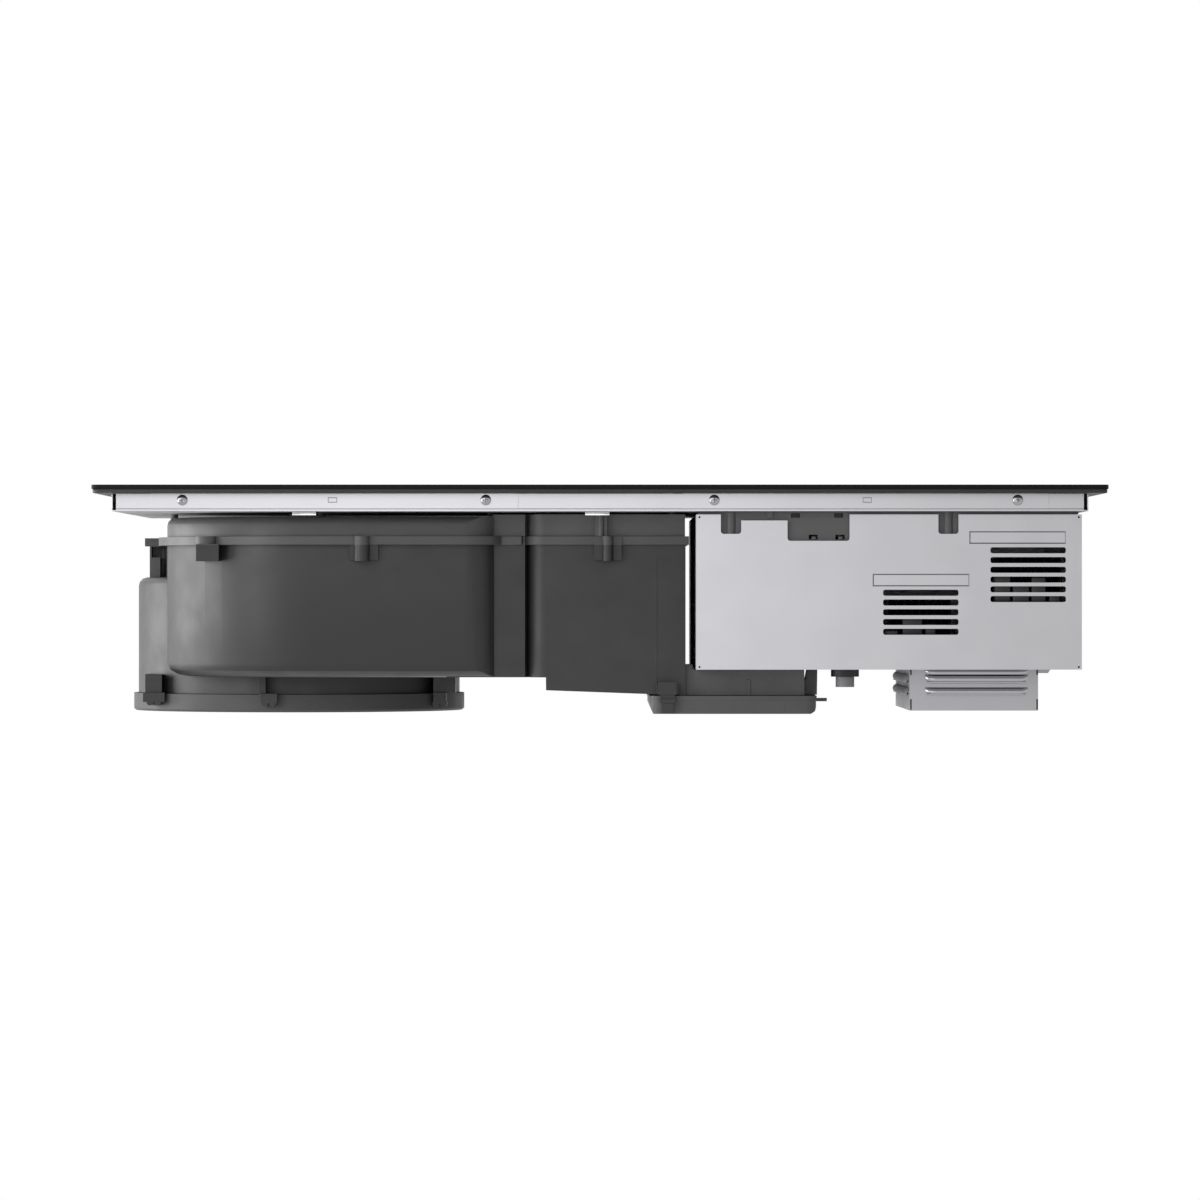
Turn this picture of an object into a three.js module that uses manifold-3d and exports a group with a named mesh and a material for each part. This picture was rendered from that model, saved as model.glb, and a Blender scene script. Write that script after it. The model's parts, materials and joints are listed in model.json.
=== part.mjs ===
// Downdraft induction cooktop, in millimetres, +Z up, front (user's side) towards -Y.
// z = 0 is the worktop's upper face, and the origin is the centre of the worktop cut-out.
import * as THREE from 'three';
import { mergeVertices } from 'three/addons/utils/BufferGeometryUtils.js';
import Module from 'manifold-3d';

const wasm = await Module();
wasm.setup();

// ---- driving dimensions ----
const GAP = 0.3;                      // clearance between pieces that touch
const GLASS = { width: 916, depth: 530, bottom: 3.5, top: 7.5, corner: 6 };
const TRIM = { width: 914, depth: 528, band: 34, top: 3.2, reliefX: 442, reliefY: 251.6, relief: 0.4 };
const INTAKE = { width: 104, depth: 260, corner: 8 };
const PAN = { halfX: 440.75, halfY: 247, bottom: -16.2, sheet: 1, slit: 3 };
const STRIP = { length: 331, offset: 404.8, bottom: -13.9, sheet: 0.8 };
const SCREW = { head: 4.8, shank: 1.9, inset: 27.9, height: -6.2 };
const COIL = { outer: 104, inner: 24, x: 248, frontY: -112, rearY: 122, bottom: -12.6, top: -2.5 };
const WALL = 3;                       // moulded plastic wall
const FAR = 600;                      // beyond every piece, for cutters
const SIDES = 40;                     // facets of the large round pieces
const SHELL_TOP = -20.2;              // top of the upper shell over the blower
const NECK_TOP = -18.4;               // and over the neck and the duct
const SEAM = -38;                     // joint plane of the two shells
const FLANGE = { bottom: -45.9, grow: 8 };
const SCROLL = { x: -262, y: -55, radius: 142, bottom: -167, bend: -124, bendRadius: 32, bendAngle: 58 };
const NECK = { left: -104, front: -181, rear: 87, right: -59.5 };
const GROOVE = { edge: -68.5, x: -65.5, y: -174 };
const SPLIT_X = -66.3;                // joint plane of the lower shell and the intake duct
const DUCT = { left: -50, corner: 14, right: 78, front: -192, rear: 150, bottom: -183.4 };
const SUMP = { right: 186.5, front: -185, rear: 120, top: -159.8 };
const CAN = { x: -285, y: 30, radius: 152, top: -75, bottom: -183.4, shoulder: 8, dome: 129.3 };
const OUTLET = { width: 230, rear: 200, bottom: -183.4, top: -93 };
const INSERT = { radius: 146, top: -88, plate: 2.5, bell: 76 };
const WHEEL = { radius: 108, eye: 74, bottom: -150, top: -97, blades: 9 };
const MOTOR = { radius: 46, bottom: -195, top: -153 };
const COVER = { radius: 156.4, top: -183.7, bottom: -200.1 };
const TRAY = { left: 45.5, right: 197, front: -200, rear: 128, top: -183.7, bottom: -200.1, corner: 9 };
const BOX = { left: 86.9, right: 435.8, front: -235, rear: 213, bottom: -159.4, top: -19, sheet: 1 };
const SLOT = { length: 68.2, height: 5.5, pitch: 8.82, corner: 1.9 };
const FAN = { x: 342, size: 76, frontY: -16, rearY: 66, bottom: -158, top: -138 };
const COWL = { left: 284, right: 401.6, front: -160, rear: 110, bottom: -197.8, sheet: 1 };
const GLAND = { x: 223.3, y: -190, nut: 12.8, body: 8.5 };

// ---- finishes ----
const finish = (color, roughness, metalness) =>
  new THREE.MeshStandardMaterial({ color, roughness, metalness });
const FINISH = {
  glass: finish(0x0b0b0c, 0.08, 0),
  trim: finish(0x3a3a3a, 0.55, 0),
  sheet: finish(0xd2d2d5, 0.38, 1),
  screw: finish(0xe2e2e4, 0.25, 1),
  plastic: finish(0x444444, 0.5, 0),
  black: finish(0x1c1c1d, 0.5, 0),
  copper: finish(0xb06a3b, 0.45, 0.6),
  aluminium: finish(0xc4c6c8, 0.42, 1),
  board: finish(0x1f5a38, 0.6, 0),
  steel: finish(0xa5a7aa, 0.35, 1),
  gland: finish(0x707072, 0.45, 0),
};

// ---- solids ----
// A closed geometry as a solid, always facing outwards.
function solid(geometry) {
  const bare = geometry.clone();
  for (const name of Object.keys(bare.attributes)) {
    if (name !== 'position') bare.deleteAttribute(name);
  }
  const merged = mergeVertices(bare, 1e-4);
  const triVerts = new Uint32Array(merged.index.array);
  const vertProperties = new Float32Array(merged.attributes.position.array);
  const made = new wasm.Manifold(new wasm.Mesh({ numProp: 3, vertProperties, triVerts }));
  if (made.volume() >= 0) return made;
  for (let i = 0; i < triVerts.length; i += 3) {
    [triVerts[i + 1], triVerts[i + 2]] = [triVerts[i + 2], triVerts[i + 1]];
  }
  return new wasm.Manifold(new wasm.Mesh({ numProp: 3, vertProperties, triVerts }));
}

function toGeometry(body) {
  const mesh = body.getMesh();
  const geometry = new THREE.BufferGeometry();
  geometry.setAttribute('position', new THREE.BufferAttribute(mesh.vertProperties, 3));
  geometry.setIndex(new THREE.BufferAttribute(mesh.triVerts, 1));
  return geometry;
}

const join = (...bodies) => bodies.reduce((sum, body) => sum.add(body));
const cut = (body, ...tools) => tools.reduce((rest, tool) => rest.subtract(tool), body);

function block(x0, x1, y0, y1, z0, z1) {
  const geometry = new THREE.BoxGeometry(x1 - x0, y1 - y0, z1 - z0);
  geometry.translate((x0 + x1) / 2, (y0 + y1) / 2, (z0 + z1) / 2);
  return solid(geometry);
}

// Extrudes a plan outline upwards between two heights.
function prism(shape, z0, z1, curveSegments = SIDES / 4) {
  const geometry = new THREE.ExtrudeGeometry(shape, { depth: z1 - z0, bevelEnabled: false, curveSegments });
  geometry.translate(0, 0, z0);
  return solid(geometry);
}

// Extrudes an outline drawn in X and Z between two Y places.
function prismY(points, y0, y1) {
  const shape = new THREE.Shape(points.map(([x, z]) => new THREE.Vector2(x, z)));
  const geometry = new THREE.ExtrudeGeometry(shape, { depth: y1 - y0, bevelEnabled: false });
  geometry.rotateX(Math.PI / 2);
  geometry.translate(0, y1, 0);
  return solid(geometry);
}

// Extrudes an outline drawn in Y and Z between two X places.
function prismX(points, x0, x1) {
  const shape = new THREE.Shape(points.map(([y, z]) => new THREE.Vector2(y, z)));
  const geometry = new THREE.ExtrudeGeometry(shape, { depth: x1 - x0, bevelEnabled: false });
  const turn = new THREE.Matrix4().makeBasis(
    new THREE.Vector3(0, 1, 0), new THREE.Vector3(0, 0, 1), new THREE.Vector3(1, 0, 0));
  geometry.applyMatrix4(turn);
  geometry.translate(x0, 0, 0);
  return solid(geometry);
}

// A body of revolution about a vertical axis; the profile is a list of [radius, height].
function turned(profile, x = 0, y = 0, sides = 32) {
  const points = profile.map(([radius, height]) => new THREE.Vector2(radius, height));
  const geometry = new THREE.LatheGeometry(points, sides);
  geometry.rotateX(Math.PI / 2);
  geometry.translate(x, y, 0);
  return solid(geometry);
}

function post(radius, x, y, z0, z1, sides = 24) {
  return turned([[0, z0], [radius, z0], [radius, z1], [0, z1]], x, y, sides);
}

// A round bar along Y.
function pegY(radius, x, z, y0, y1, sides = 16) {
  const geometry = new THREE.CylinderGeometry(radius, radius, y1 - y0, sides);
  geometry.translate(x, (y0 + y1) / 2, z);
  return solid(geometry);
}

// A round bar along X.
function pegX(radius, y, z, x0, x1, sides = 16) {
  const geometry = new THREE.CylinderGeometry(radius, radius, x1 - x0, sides);
  geometry.rotateZ(Math.PI / 2);
  geometry.translate((x0 + x1) / 2, y, z);
  return solid(geometry);
}

function roundedRect(x0, x1, y0, y1, r) {
  const shape = new THREE.Shape();
  shape.moveTo(x0 + r, y0);
  shape.lineTo(x1 - r, y0);
  shape.absarc(x1 - r, y0 + r, r, -Math.PI / 2, 0);
  shape.lineTo(x1, y1 - r);
  shape.absarc(x1 - r, y1 - r, r, 0, Math.PI / 2);
  shape.lineTo(x0 + r, y1);
  shape.absarc(x0 + r, y1 - r, r, Math.PI / 2, Math.PI);
  shape.lineTo(x0, y0 + r);
  shape.absarc(x0 + r, y0 + r, r, Math.PI, 1.5 * Math.PI);
  return shape;
}

const plate = (x0, x1, y0, y1, r, z0, z1) => prism(roundedRect(x0, x1, y0, y1, r), z0, z1, 2);
const centred = (width, depth, r, z0, z1) => plate(-width / 2, width / 2, -depth / 2, depth / 2, r, z0, z1);

// ---- the exported model ----
const cooktop = new THREE.Group();
function add(name, body, material, parent = cooktop) {
  const mesh = new THREE.Mesh(toGeometry(body), FINISH[material]);
  mesh.name = name;
  parent.add(mesh);
  return mesh;
}

// A group that only places what is modelled about its own origin.
function at(x, y, z) {
  const group = new THREE.Group();
  group.position.set(x, y, z);
  cooktop.add(group);
  return group;
}

// ---- glass, trim and pan ----
function glassPanel() {
  const slab = centred(GLASS.width, GLASS.depth, GLASS.corner, GLASS.bottom, GLASS.top);
  return cut(slab, centred(INTAKE.width, INTAKE.depth, INTAKE.corner, GLASS.bottom - 1, GLASS.top + 1));
}

// The trim's outer band is the seat on the worktop; over the pan and its screws it is relieved.
function trimFrame() {
  const slab = centred(TRIM.width, TRIM.depth, GLASS.corner, 0, TRIM.top);
  const window = centred(TRIM.width - 2 * TRIM.band, TRIM.depth - 2 * TRIM.band, 4, -1, TRIM.top + 1);
  const relief = centred(2 * TRIM.reliefX, 2 * TRIM.reliefY, 4, -1, TRIM.relief);
  return cut(slab, window, relief);
}

const panFront = -PAN.halfY;
const screwPlaces = [-1, 1].flatMap((side) => [
  side * (STRIP.offset - SCREW.inset),
  side * (STRIP.offset - STRIP.length + SCREW.inset + 1.4),
]).sort((a, b) => a - b);

function skirtPan() {
  const { halfX, halfY, bottom, sheet, slit } = PAN;
  const top = -GAP;
  const floor = block(-halfX, halfX, -halfY, halfY, bottom, bottom + sheet);
  const sides = [-1, 1].map((side) => {
    const outer = side * halfX;
    const inner = side * (halfX - sheet);
    return block(Math.min(outer, inner), Math.max(outer, inner), -halfY, halfY, bottom, top);
  });
  const ends = [-1, 1].map((side) => {
    const outer = side * halfY;
    const inner = side * (halfY - sheet);
    const reach = halfX - sheet - slit;
    return block(-reach, reach, Math.min(outer, inner), Math.max(outer, inner), bottom, top);
  });
  const tabs = [[-279.9, -258.2], [-13.5, 8.7]].map(([x0, x1]) =>
    block(x0, x1, -205, -204.2, bottom - 3.2, bottom + 0.5));
  const collarHole = plate(-61, 61, -139, 139, 4, bottom - 1, bottom + sheet + 1);
  const cableHole = plate(232, 290, -228, -206, 4, bottom - 1, bottom + sheet + 1);
  const coolingHoles = [-120, 130].map((y) =>
    plate(250, 330, y - 40, y + 40, 10, bottom - 1, bottom + sheet + 1));
  const screwHoles = screwPlaces.map((x) =>
    pegY(SCREW.shank + 0.4, x, SCREW.height, -halfY - 1, -halfY + sheet + 1));
  const folded = join(floor, ...sides, ...ends, ...tabs);
  return cut(folded, collarHole, cableHole, ...coolingHoles, ...screwHoles);
}

function mountingStrip(side) {
  const outer = side * STRIP.offset;
  const inner = side * (STRIP.offset - STRIP.length);
  const y1 = panFront - GAP;
  const y0 = y1 - STRIP.sheet;
  const x0 = Math.min(outer, inner);
  const x1 = Math.max(outer, inner);
  const middle = (x0 + x1) / 2 + side * 2;
  const holes = screwPlaces.filter((x) => x > x0 && x < x1)
    .map((x) => pegY(SCREW.shank + 0.4, x, SCREW.height, y0 - 1, y1 + 1));
  const groove = cut(
    block(middle - 4.2, middle + 4.2, y0 - 1, y0 + 0.3, -8.6, -3.6),
    block(middle - 3.4, middle + 3.4, y0 - 2, y0 + 1, -7.8, -4.4));
  return cut(block(x0, x1, y0, y1, STRIP.bottom, -GAP), groove, ...holes);
}

// A pan-head screw along Y: its head is outside the strip and its shank inside the pan.
function panHeadScrew() {
  const seat = panFront - 2 * GAP - STRIP.sheet;
  const profile = [[0, 8], [SCREW.shank, 8], [SCREW.shank, 0], [SCREW.head, 0], [SCREW.head, -1.2],
    [SCREW.head * 0.6, -2.7], [0, -2.7]];
  const points = profile.map(([radius, along]) => new THREE.Vector2(radius, along));
  const geometry = new THREE.LatheGeometry(points, 12);
  geometry.translate(0, seat, 0);
  const recess = join(
    block(-2.6, 2.6, seat - 3, seat - 1.3, -0.55, 0.55),
    block(-0.55, 0.55, seat - 3, seat - 1.3, -2.6, 2.6));
  return cut(solid(geometry), recess);
}

add('glass_panel', glassPanel(), 'glass');
add('trim_frame', trimFrame(), 'trim');
add('skirt_pan', skirtPan(), 'sheet');
add('mounting_strip_left', mountingStrip(-1), 'sheet');
add('mounting_strip_right', mountingStrip(1), 'sheet');
screwPlaces.forEach((x, i) => add(`strip_screw_${i + 1}`, panHeadScrew(), 'screw', at(x, 0, SCREW.height)));

// ---- induction coils, touch board ----
function coilPlate(side) {
  const x0 = Math.min(side * 64, side * 434);
  const x1 = Math.max(side * 64, side * 434);
  const base = plate(x0, x1, -190, 240, 8, PAN.bottom + PAN.sheet + GAP, PAN.bottom + PAN.sheet + GAP + 1.5);
  const holes = [COIL.frontY, COIL.rearY].map((y) => post(COIL.inner - 6, side * COIL.x, y, -16, -12));
  return cut(base, ...holes);
}

function inductionCoil() {
  const { outer, inner, bottom, top } = COIL;
  return turned([[inner, bottom], [outer, bottom], [outer, top], [inner, top], [inner, bottom]]);
}

[['left', -1], ['right', 1]].forEach(([word, side]) => {
  add(`coil_plate_${word}`, coilPlate(side), 'aluminium');
  add(`coil_${word}_front`, inductionCoil(), 'copper', at(side * COIL.x, COIL.frontY, 0));
  add(`coil_${word}_rear`, inductionCoil(), 'copper', at(side * COIL.x, COIL.rearY, 0));
});
add('touch_board', join(
  plate(-165, 165, -240, -196, 3, -6, -4.4),
  ...[-158, 158].map((x) => post(3, x, -218, -14.9, -5, 8)),
  ...[-120, -72, -24, 24, 72, 120].map((x) => post(6, x, -218, -5, 2.6, 10)),
), 'board');

// ---- intake: collar, basket, filters, grille ----
const COLLAR = { halfX: 58, halfY: 136, ledge: -4 };
function intakeCollar() {
  const outer = centred(2 * COLLAR.halfX, 2 * COLLAR.halfY, 6, NECK_TOP + GAP, GLASS.bottom - GAP);
  const mouth = centred(103, 259, 8, COLLAR.ledge, GLASS.bottom + 1);
  const throat = centred(94, 250, 6, NECK_TOP - 1, COLLAR.ledge + 1);
  return cut(outer, mouth, throat);
}

const BASKET = { halfX: 45.5, halfY: 121, bottom: -128, rimTop: 0.5 };
function filterBasket() {
  const { halfX, halfY, bottom, rimTop } = BASKET;
  const rim = centred(101.5, 257.5, 7, COLLAR.ledge + GAP, rimTop);
  const body = centred(2 * halfX, 2 * halfY, 6, bottom, rimTop);
  const inside = centred(2 * halfX - 4, 2 * halfY - 4, 5, bottom + 22, rimTop + 1);
  const cup = centred(2 * halfX - 18, 2 * halfY - 18, 4, bottom + 2.5, bottom + 23);
  const windows = block(-halfX - 1, halfX + 1, -halfY + 8, halfY - 8, bottom + 28, -12);
  const bar = join(
    block(-halfX + 0.5, halfX - 0.5, -2, 2, -9, -5),
    block(-halfX + 0.5, -halfX + 2, -4, 4, bottom + 20, -5),
    block(halfX - 2, halfX - 0.5, -4, 4, bottom + 20, -5));
  return join(cut(join(rim, body), inside, cup, windows), bar);
}

// A grease filter stands inside the basket's long side: a frame with slanted slats.
function greaseFilter(side) {
  const halfLength = 112;
  const bottom = BASKET.bottom + 22 + GAP;
  const top = -12;
  const x0 = Math.min(side * 34, side * 40.5);
  const x1 = Math.max(side * 34, side * 40.5);
  const frame = cut(
    block(x0, x1, -halfLength, halfLength, bottom, top),
    block(x0 - 1, x1 + 1, -halfLength + 6, halfLength - 6, bottom + 6, top - 6));
  const core = block(x0 + 2, x1 - 2, -halfLength + 5, halfLength - 5, bottom + 5, top - 5);
  const slats = Array.from({ length: 11 }, (_, i) => {
    const y = -halfLength + 16 + i * (2 * halfLength - 32) / 10;
    return block(x0 + 0.7, x1 - 0.7, y - 2.2, y + 2.2, bottom + 4, top - 4);
  });
  return join(frame, core, ...slats);
}

const GRILLE = { bottom: 0.8, top: 7.2, slats: 15 };
function intakeGrille() {
  const { bottom, top, slats } = GRILLE;
  const frame = cut(
    centred(101.5, 257.5, 7, bottom, top),
    centred(87.5, 243.5, 4, bottom - 1, top + 1));
  const bars = Array.from({ length: slats }, (_, i) => {
    const y = (i - (slats - 1) / 2) * 15.4;
    return prismX([
      [y - 3.4, top - 0.4], [y + 1.2, bottom], [y + 3.4, bottom], [y - 1.2, top - 0.4]], -44.5, 44.5);
  });
  const spine = block(-3, 3, -122.5, 122.5, bottom, bottom + 2.4);
  return join(frame, ...bars, spine);
}

add('intake_collar', intakeCollar(), 'black');
add('filter_basket', filterBasket(), 'plastic');
add('grease_filter_left', greaseFilter(-1), 'steel');
add('grease_filter_right', greaseFilter(1), 'steel');
add('intake_grille', intakeGrille(), 'black');

// ---- blower housing ----
// The scroll's plan: a half circle on the left that runs on as straight walls, then bends back to the neck.
function scrollPlan(grow) {
  const { x, y, radius, bend, bendRadius, bendAngle } = SCROLL;
  const r = radius + grow;
  const turn = THREE.MathUtils.degToRad(bendAngle);
  const bendR = bendRadius + grow;
  const right = bend + bendR * Math.sin(turn);
  const shape = new THREE.Shape();
  shape.moveTo(x, y - r);
  shape.lineTo(bend, y - r);
  const steps = 6;
  for (let i = 1; i <= steps; i += 1) {
    const angle = turn * i / steps;
    shape.lineTo(bend + bendR * Math.sin(angle), y - r + bendR * (1 - Math.cos(angle)));
  }
  shape.lineTo(right, NECK.rear + grow);
  shape.lineTo(x, NECK.rear + grow);
  shape.absarc(x, y, r, Math.PI / 2, 1.5 * Math.PI);
  return shape;
}

// The neck and the intake duct in plan: the duct's rounded corner meets the neck in a narrow groove.
function ductPlan(grow, right) {
  const { left, corner, front, rear } = DUCT;
  const r = corner + grow;
  const shape = new THREE.Shape();
  shape.moveTo(right, front - grow);
  const steps = 6;
  for (let i = 0; i <= steps; i += 1) {
    const angle = i / steps * Math.PI / 2;
    shape.lineTo(left - r * Math.sin(angle), front + corner - r * Math.cos(angle));
  }
  shape.lineTo(GROOVE.x - grow * 0.8, GROOVE.y - grow * 0.8);
  shape.lineTo(GROOVE.edge - grow * 0.8, NECK.front - grow);
  shape.lineTo(-140, NECK.front - grow);
  shape.lineTo(-140, NECK.rear + grow);
  shape.lineTo(NECK.right - grow, NECK.rear + grow);
  shape.lineTo(NECK.right - grow, rear + grow);
  shape.lineTo(right, rear + grow);
  shape.closePath();
  return shape;
}

// The scroll as a puck with a straight run to its right, both with one edge rounded as a quarter ellipse.
// flat is the height of the rounded face, and open the height of the square one.
function roundedScroll(grow, flat, open, size, thickness) {
  const steps = 3;
  const r = SCROLL.radius + grow;
  const towards = Math.sign(open - flat);
  const rounding = Array.from({ length: steps + 1 }, (_, i) => {
    const angle = i / steps * Math.PI / 2;
    return [r - size * (1 - Math.sin(angle)), flat + towards * thickness * (1 - Math.cos(angle))];
  });
  const puck = turned([[0, flat], ...rounding, [r, open], [0, open]], SCROLL.x, SCROLL.y, SIDES);
  const front = rounding.map(([radius, height]) => [SCROLL.y - radius, height]);
  const rear = rounding.map(([radius, height]) => [SCROLL.y + radius, height]);
  const run = prismX([[SCROLL.y - r, open], ...front.reverse(), ...rear, [SCROLL.y + r, open]],
    SCROLL.x, NECK.left + 15);
  return join(puck, run).intersect(
    prism(scrollPlan(grow), Math.min(flat, open) - 1, Math.max(flat, open) + 1));
}

const scrollTub = (grow, bottom, top) => roundedScroll(grow, bottom, top, 20, 12);

// The duct's floor slopes down to the sump.
const ductBoot = (inset, top) => prismY([
  [-49.5 + inset, top], [-49.2 + inset, -178.7 + inset], [41, -181.9 + inset],
  [DUCT.right - inset, DUCT.bottom + inset], [DUCT.right - inset, top],
], DUCT.front + inset, DUCT.rear - inset);

function outletStub(inset, rear) {
  const half = OUTLET.width / 2 - inset;
  return block(CAN.x - half, CAN.x + half, CAN.y + 30, rear, OUTLET.bottom + inset, OUTLET.top - inset);
}

function canBody(inset, bottom) {
  const r = CAN.radius - inset;
  const top = CAN.top - inset;
  const s = CAN.shoulder - inset;
  const rounding = [0, 30, 60, 90].map((degrees) => {
    const angle = THREE.MathUtils.degToRad(degrees);
    return [r - s * (1 - Math.cos(angle)), top - s * (1 - Math.sin(angle))];
  });
  return turned([[0, bottom], [r, bottom], ...rounding, [0, top]], CAN.x, CAN.y, SIDES);
}

// Screw bosses hang under the joint flange: a square one on the left and ribbed ones along the front.
const BOSS_BOTTOM = -60.9;
function ribbedBoss(x, radius, ribs, y) {
  const top = SEAM - GAP;
  return join(
    post(radius, x, y - 3, BOSS_BOTTOM, top, 20),
    block(x - radius, x + radius, y - 3, y + 6, BOSS_BOTTOM, top),
    block(ribs[0], ribs[1], y, y + 8, BOSS_BOTTOM + 1, top));
}

function lowerHousing() {
  const top = SEAM - GAP;
  const outside = join(
    scrollTub(0, SCROLL.bottom, top),
    prism(ductPlan(0, DUCT.right), SCROLL.bottom, top),
    ductBoot(0, -150),
    prism(scrollPlan(FLANGE.grow), FLANGE.bottom, top),
    prism(ductPlan(4, DUCT.right + 3), FLANGE.bottom, top),
    block(DUCT.right - 5, SUMP.right, SUMP.front, SUMP.rear, DUCT.bottom, SUMP.top),
    block(DUCT.right - 2, 84.5, SUMP.front, -100, DUCT.bottom, -155.6),
    prismY([[190.6, SUMP.top], [199.6, SUMP.top], [199.2, DUCT.bottom], [184, DUCT.bottom],
      [184, -170], [188.8, -169.5]], -150, -110),
    post(CAN.dome, CAN.x, CAN.y, CAN.top - 5, FLANGE.bottom + 4, SIDES),
    canBody(0, CAN.bottom),
    outletStub(0, OUTLET.rear));
  const inside = join(
    scrollTub(-WALL, SCROLL.bottom + WALL, top + 10),
    prism(ductPlan(-WALL - 8, DUCT.right - WALL), SCROLL.bottom + WALL, top + 10),
    block(DUCT.left + 1, DUCT.right - WALL, DUCT.front + WALL, DUCT.rear - WALL,
      SCROLL.bottom + WALL, top + 10),
    ductBoot(WALL, -140),
    block(DUCT.right - 10, SUMP.right - WALL, SUMP.front + WALL, SUMP.rear - WALL,
      DUCT.bottom - 1, SUMP.top - WALL),
    block(54, DUCT.right, SUMP.front + WALL, SUMP.rear - WALL, DUCT.bottom - 1, -170),
    post(CAN.dome - WALL, CAN.x, CAN.y, CAN.top - 6, FLANGE.bottom + 1, SIDES),
    canBody(WALL, CAN.bottom - 1),
    outletStub(WALL, OUTLET.rear + 1));
  const fittings = join(
    block(-369, -348.3, -181, -155, BOSS_BOTTOM, FLANGE.bottom + 0.5),
    post(10.6, -359.6, -170, FLANGE.bottom, top, 20),
    ribbedBoss(-216.7, 7.2, [-227.4, -201.9], SCROLL.y - SCROLL.radius - 6),
    ribbedBoss(6.9, 5.1, [-5.3, 19.7], DUCT.front - 6),
    block(-428, -404, -14, 10, FLANGE.bottom, top),
    block(-423.6, -413.7, -12, 8, CAN.top - 3, FLANGE.bottom + 1),
    block(133.9, 137, SUMP.front - 1.2, SUMP.front + 1, DUCT.bottom, -169),
    block(50.8, 52, DUCT.front - 0.5, DUCT.front + 1, -178, -60),
    ...[51.2, 68.8].map((x) => block(x, x + 3, DUCT.front - 9, DUCT.front + 1, -182, -172.8)),
    ...[121.2, 138.8].map((x) => block(x, x + 3, SUMP.rear - 1, SUMP.rear + 9, -182, -172.8)));
  const pinHoles = join(
    pegX(1.6, DUCT.front - 5, -177, 50, 73, 12),
    pegX(1.6, SUMP.rear + 5, -177, 120, 143, 12));
  const pocket = block(-421.8, -413, -20, 5, FLANGE.bottom - 10.5, FLANGE.bottom - 0.6);
  return cut(join(cut(outside, inside), cut(fittings, inside)), pinHoles, pocket);
}

// The lower shell ends in the groove, where the intake duct is joined to it.
const leftOf = (x) => block(-FAR, x, -FAR, FAR, -FAR, FAR);
const rightOf = (x) => block(x, FAR, -FAR, FAR, -FAR, FAR);

// The upper shell is a lid with rounded upper edges, higher over the neck and the duct.
// Its posts meet the pan.
const LID = { left: -45, right: 77.5 };
function upperShell() {
  const bottom = SEAM;
  const neckOnly = block(-98, 40, -FAR, FAR, -FAR, FAR);
  const neck = (grow, top) => prism(ductPlan(grow, 40), bottom - 1, top).intersect(neckOnly);
  const lid = (inset, top) =>
    block(LID.left + inset, LID.right - inset, DUCT.front + inset, DUCT.rear - inset, bottom - 1, top);
  const outside = cut(
    join(roundedScroll(0, SHELL_TOP, bottom, 7, 7), neck(0, NECK_TOP), lid(0, NECK_TOP)),
    block(-FAR, FAR, -FAR, FAR, bottom - 2, bottom));
  const inside = join(
    prism(scrollPlan(-WALL), bottom - 1, SHELL_TOP - WALL),
    prism(ductPlan(-WALL - 8, 40), bottom - 1, SHELL_TOP - WALL),
    lid(WALL + 4, NECK_TOP - WALL),
    block(0, LID.right - WALL, DUCT.front + WALL, DUCT.rear - WALL, bottom - 1, NECK_TOP - WALL));
  const postTop = PAN.bottom - GAP;
  const posts = [[-397.3, -55], [-255, -160], [-100, -120], [-257, 60], [66, 142], [66, -180]].map(
    ([x, y]) => post(3.6, x, y, SHELL_TOP - 8, postTop, 14));
  const frontPost = join(
    block(-4.5, 6.5, DUCT.front - 5, DUCT.front + 2, bottom, postTop),
    post(3, 1, DUCT.front - 4, bottom, postTop, 14));
  const intake = centred(98, 254, 5, SHELL_TOP - WALL - 1, NECK_TOP + 1);
  return cut(join(cut(outside, inside), ...posts, frontPost), intake);
}

// The volute insert closes the pressure side off: a round plate with an inlet bell, and a skirt that is
// open at the outlet.
function voluteInsert() {
  const { radius, top, plate: sheet, bell } = INSERT;
  const floor = CAN.bottom + 2;
  const body = cut(
    post(radius, 0, 0, floor, top, SIDES),
    post(radius - 2.5, 0, 0, floor - 1, top - sheet, SIDES));
  const lip = cut(
    turned([[0, top - 6], [bell + 3, top - 6], [bell + 3, top + 5], [bell + 6, top + 8], [0, top + 8]]),
    turned([[0, top - 7], [bell, top - 7], [bell, top + 2], [bell + 5, top + 9], [0, top + 9]]));
  const half = OUTLET.width / 2 - WALL;
  const mouth = block(-half, half, 30, radius + 10, floor - 1, OUTLET.top - WALL);
  return cut(join(cut(body, mouth), lip), post(bell, 0, 0, top - 8, top + 10, 32));
}

// The fan wheel: a disc with its hub, nine blades that lean backwards, and a shroud ring round the eye.
function fanWheel() {
  const { radius, eye, bottom, top, blades } = WHEEL;
  const disc = turned([[0, bottom], [radius, bottom], [radius, bottom + 2], [30, bottom + 2],
    [18, bottom + 10], [14, bottom + 20], [0, bottom + 20]], 0, 0, 36);
  const shroud = cut(post(radius, 0, 0, top - 3, top, 36), post(eye, 0, 0, top - 4, top + 1, 36));
  const rim = post(radius - 0.5, 0, 0, bottom, top, 36);
  const parts = Array.from({ length: blades }, (_, i) => {
    const geometry = new THREE.BoxGeometry(62, 2, top - bottom - 2);
    geometry.rotateZ(-0.75);
    geometry.translate(84, 0, (top + bottom) / 2);
    geometry.rotateZ(i * 2 * Math.PI / blades);
    return solid(geometry).intersect(rim);
  });
  return cut(join(disc, shroud, ...parts), post(5.3, 0, 0, bottom - 1, bottom + 15, 20));
}

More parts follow.
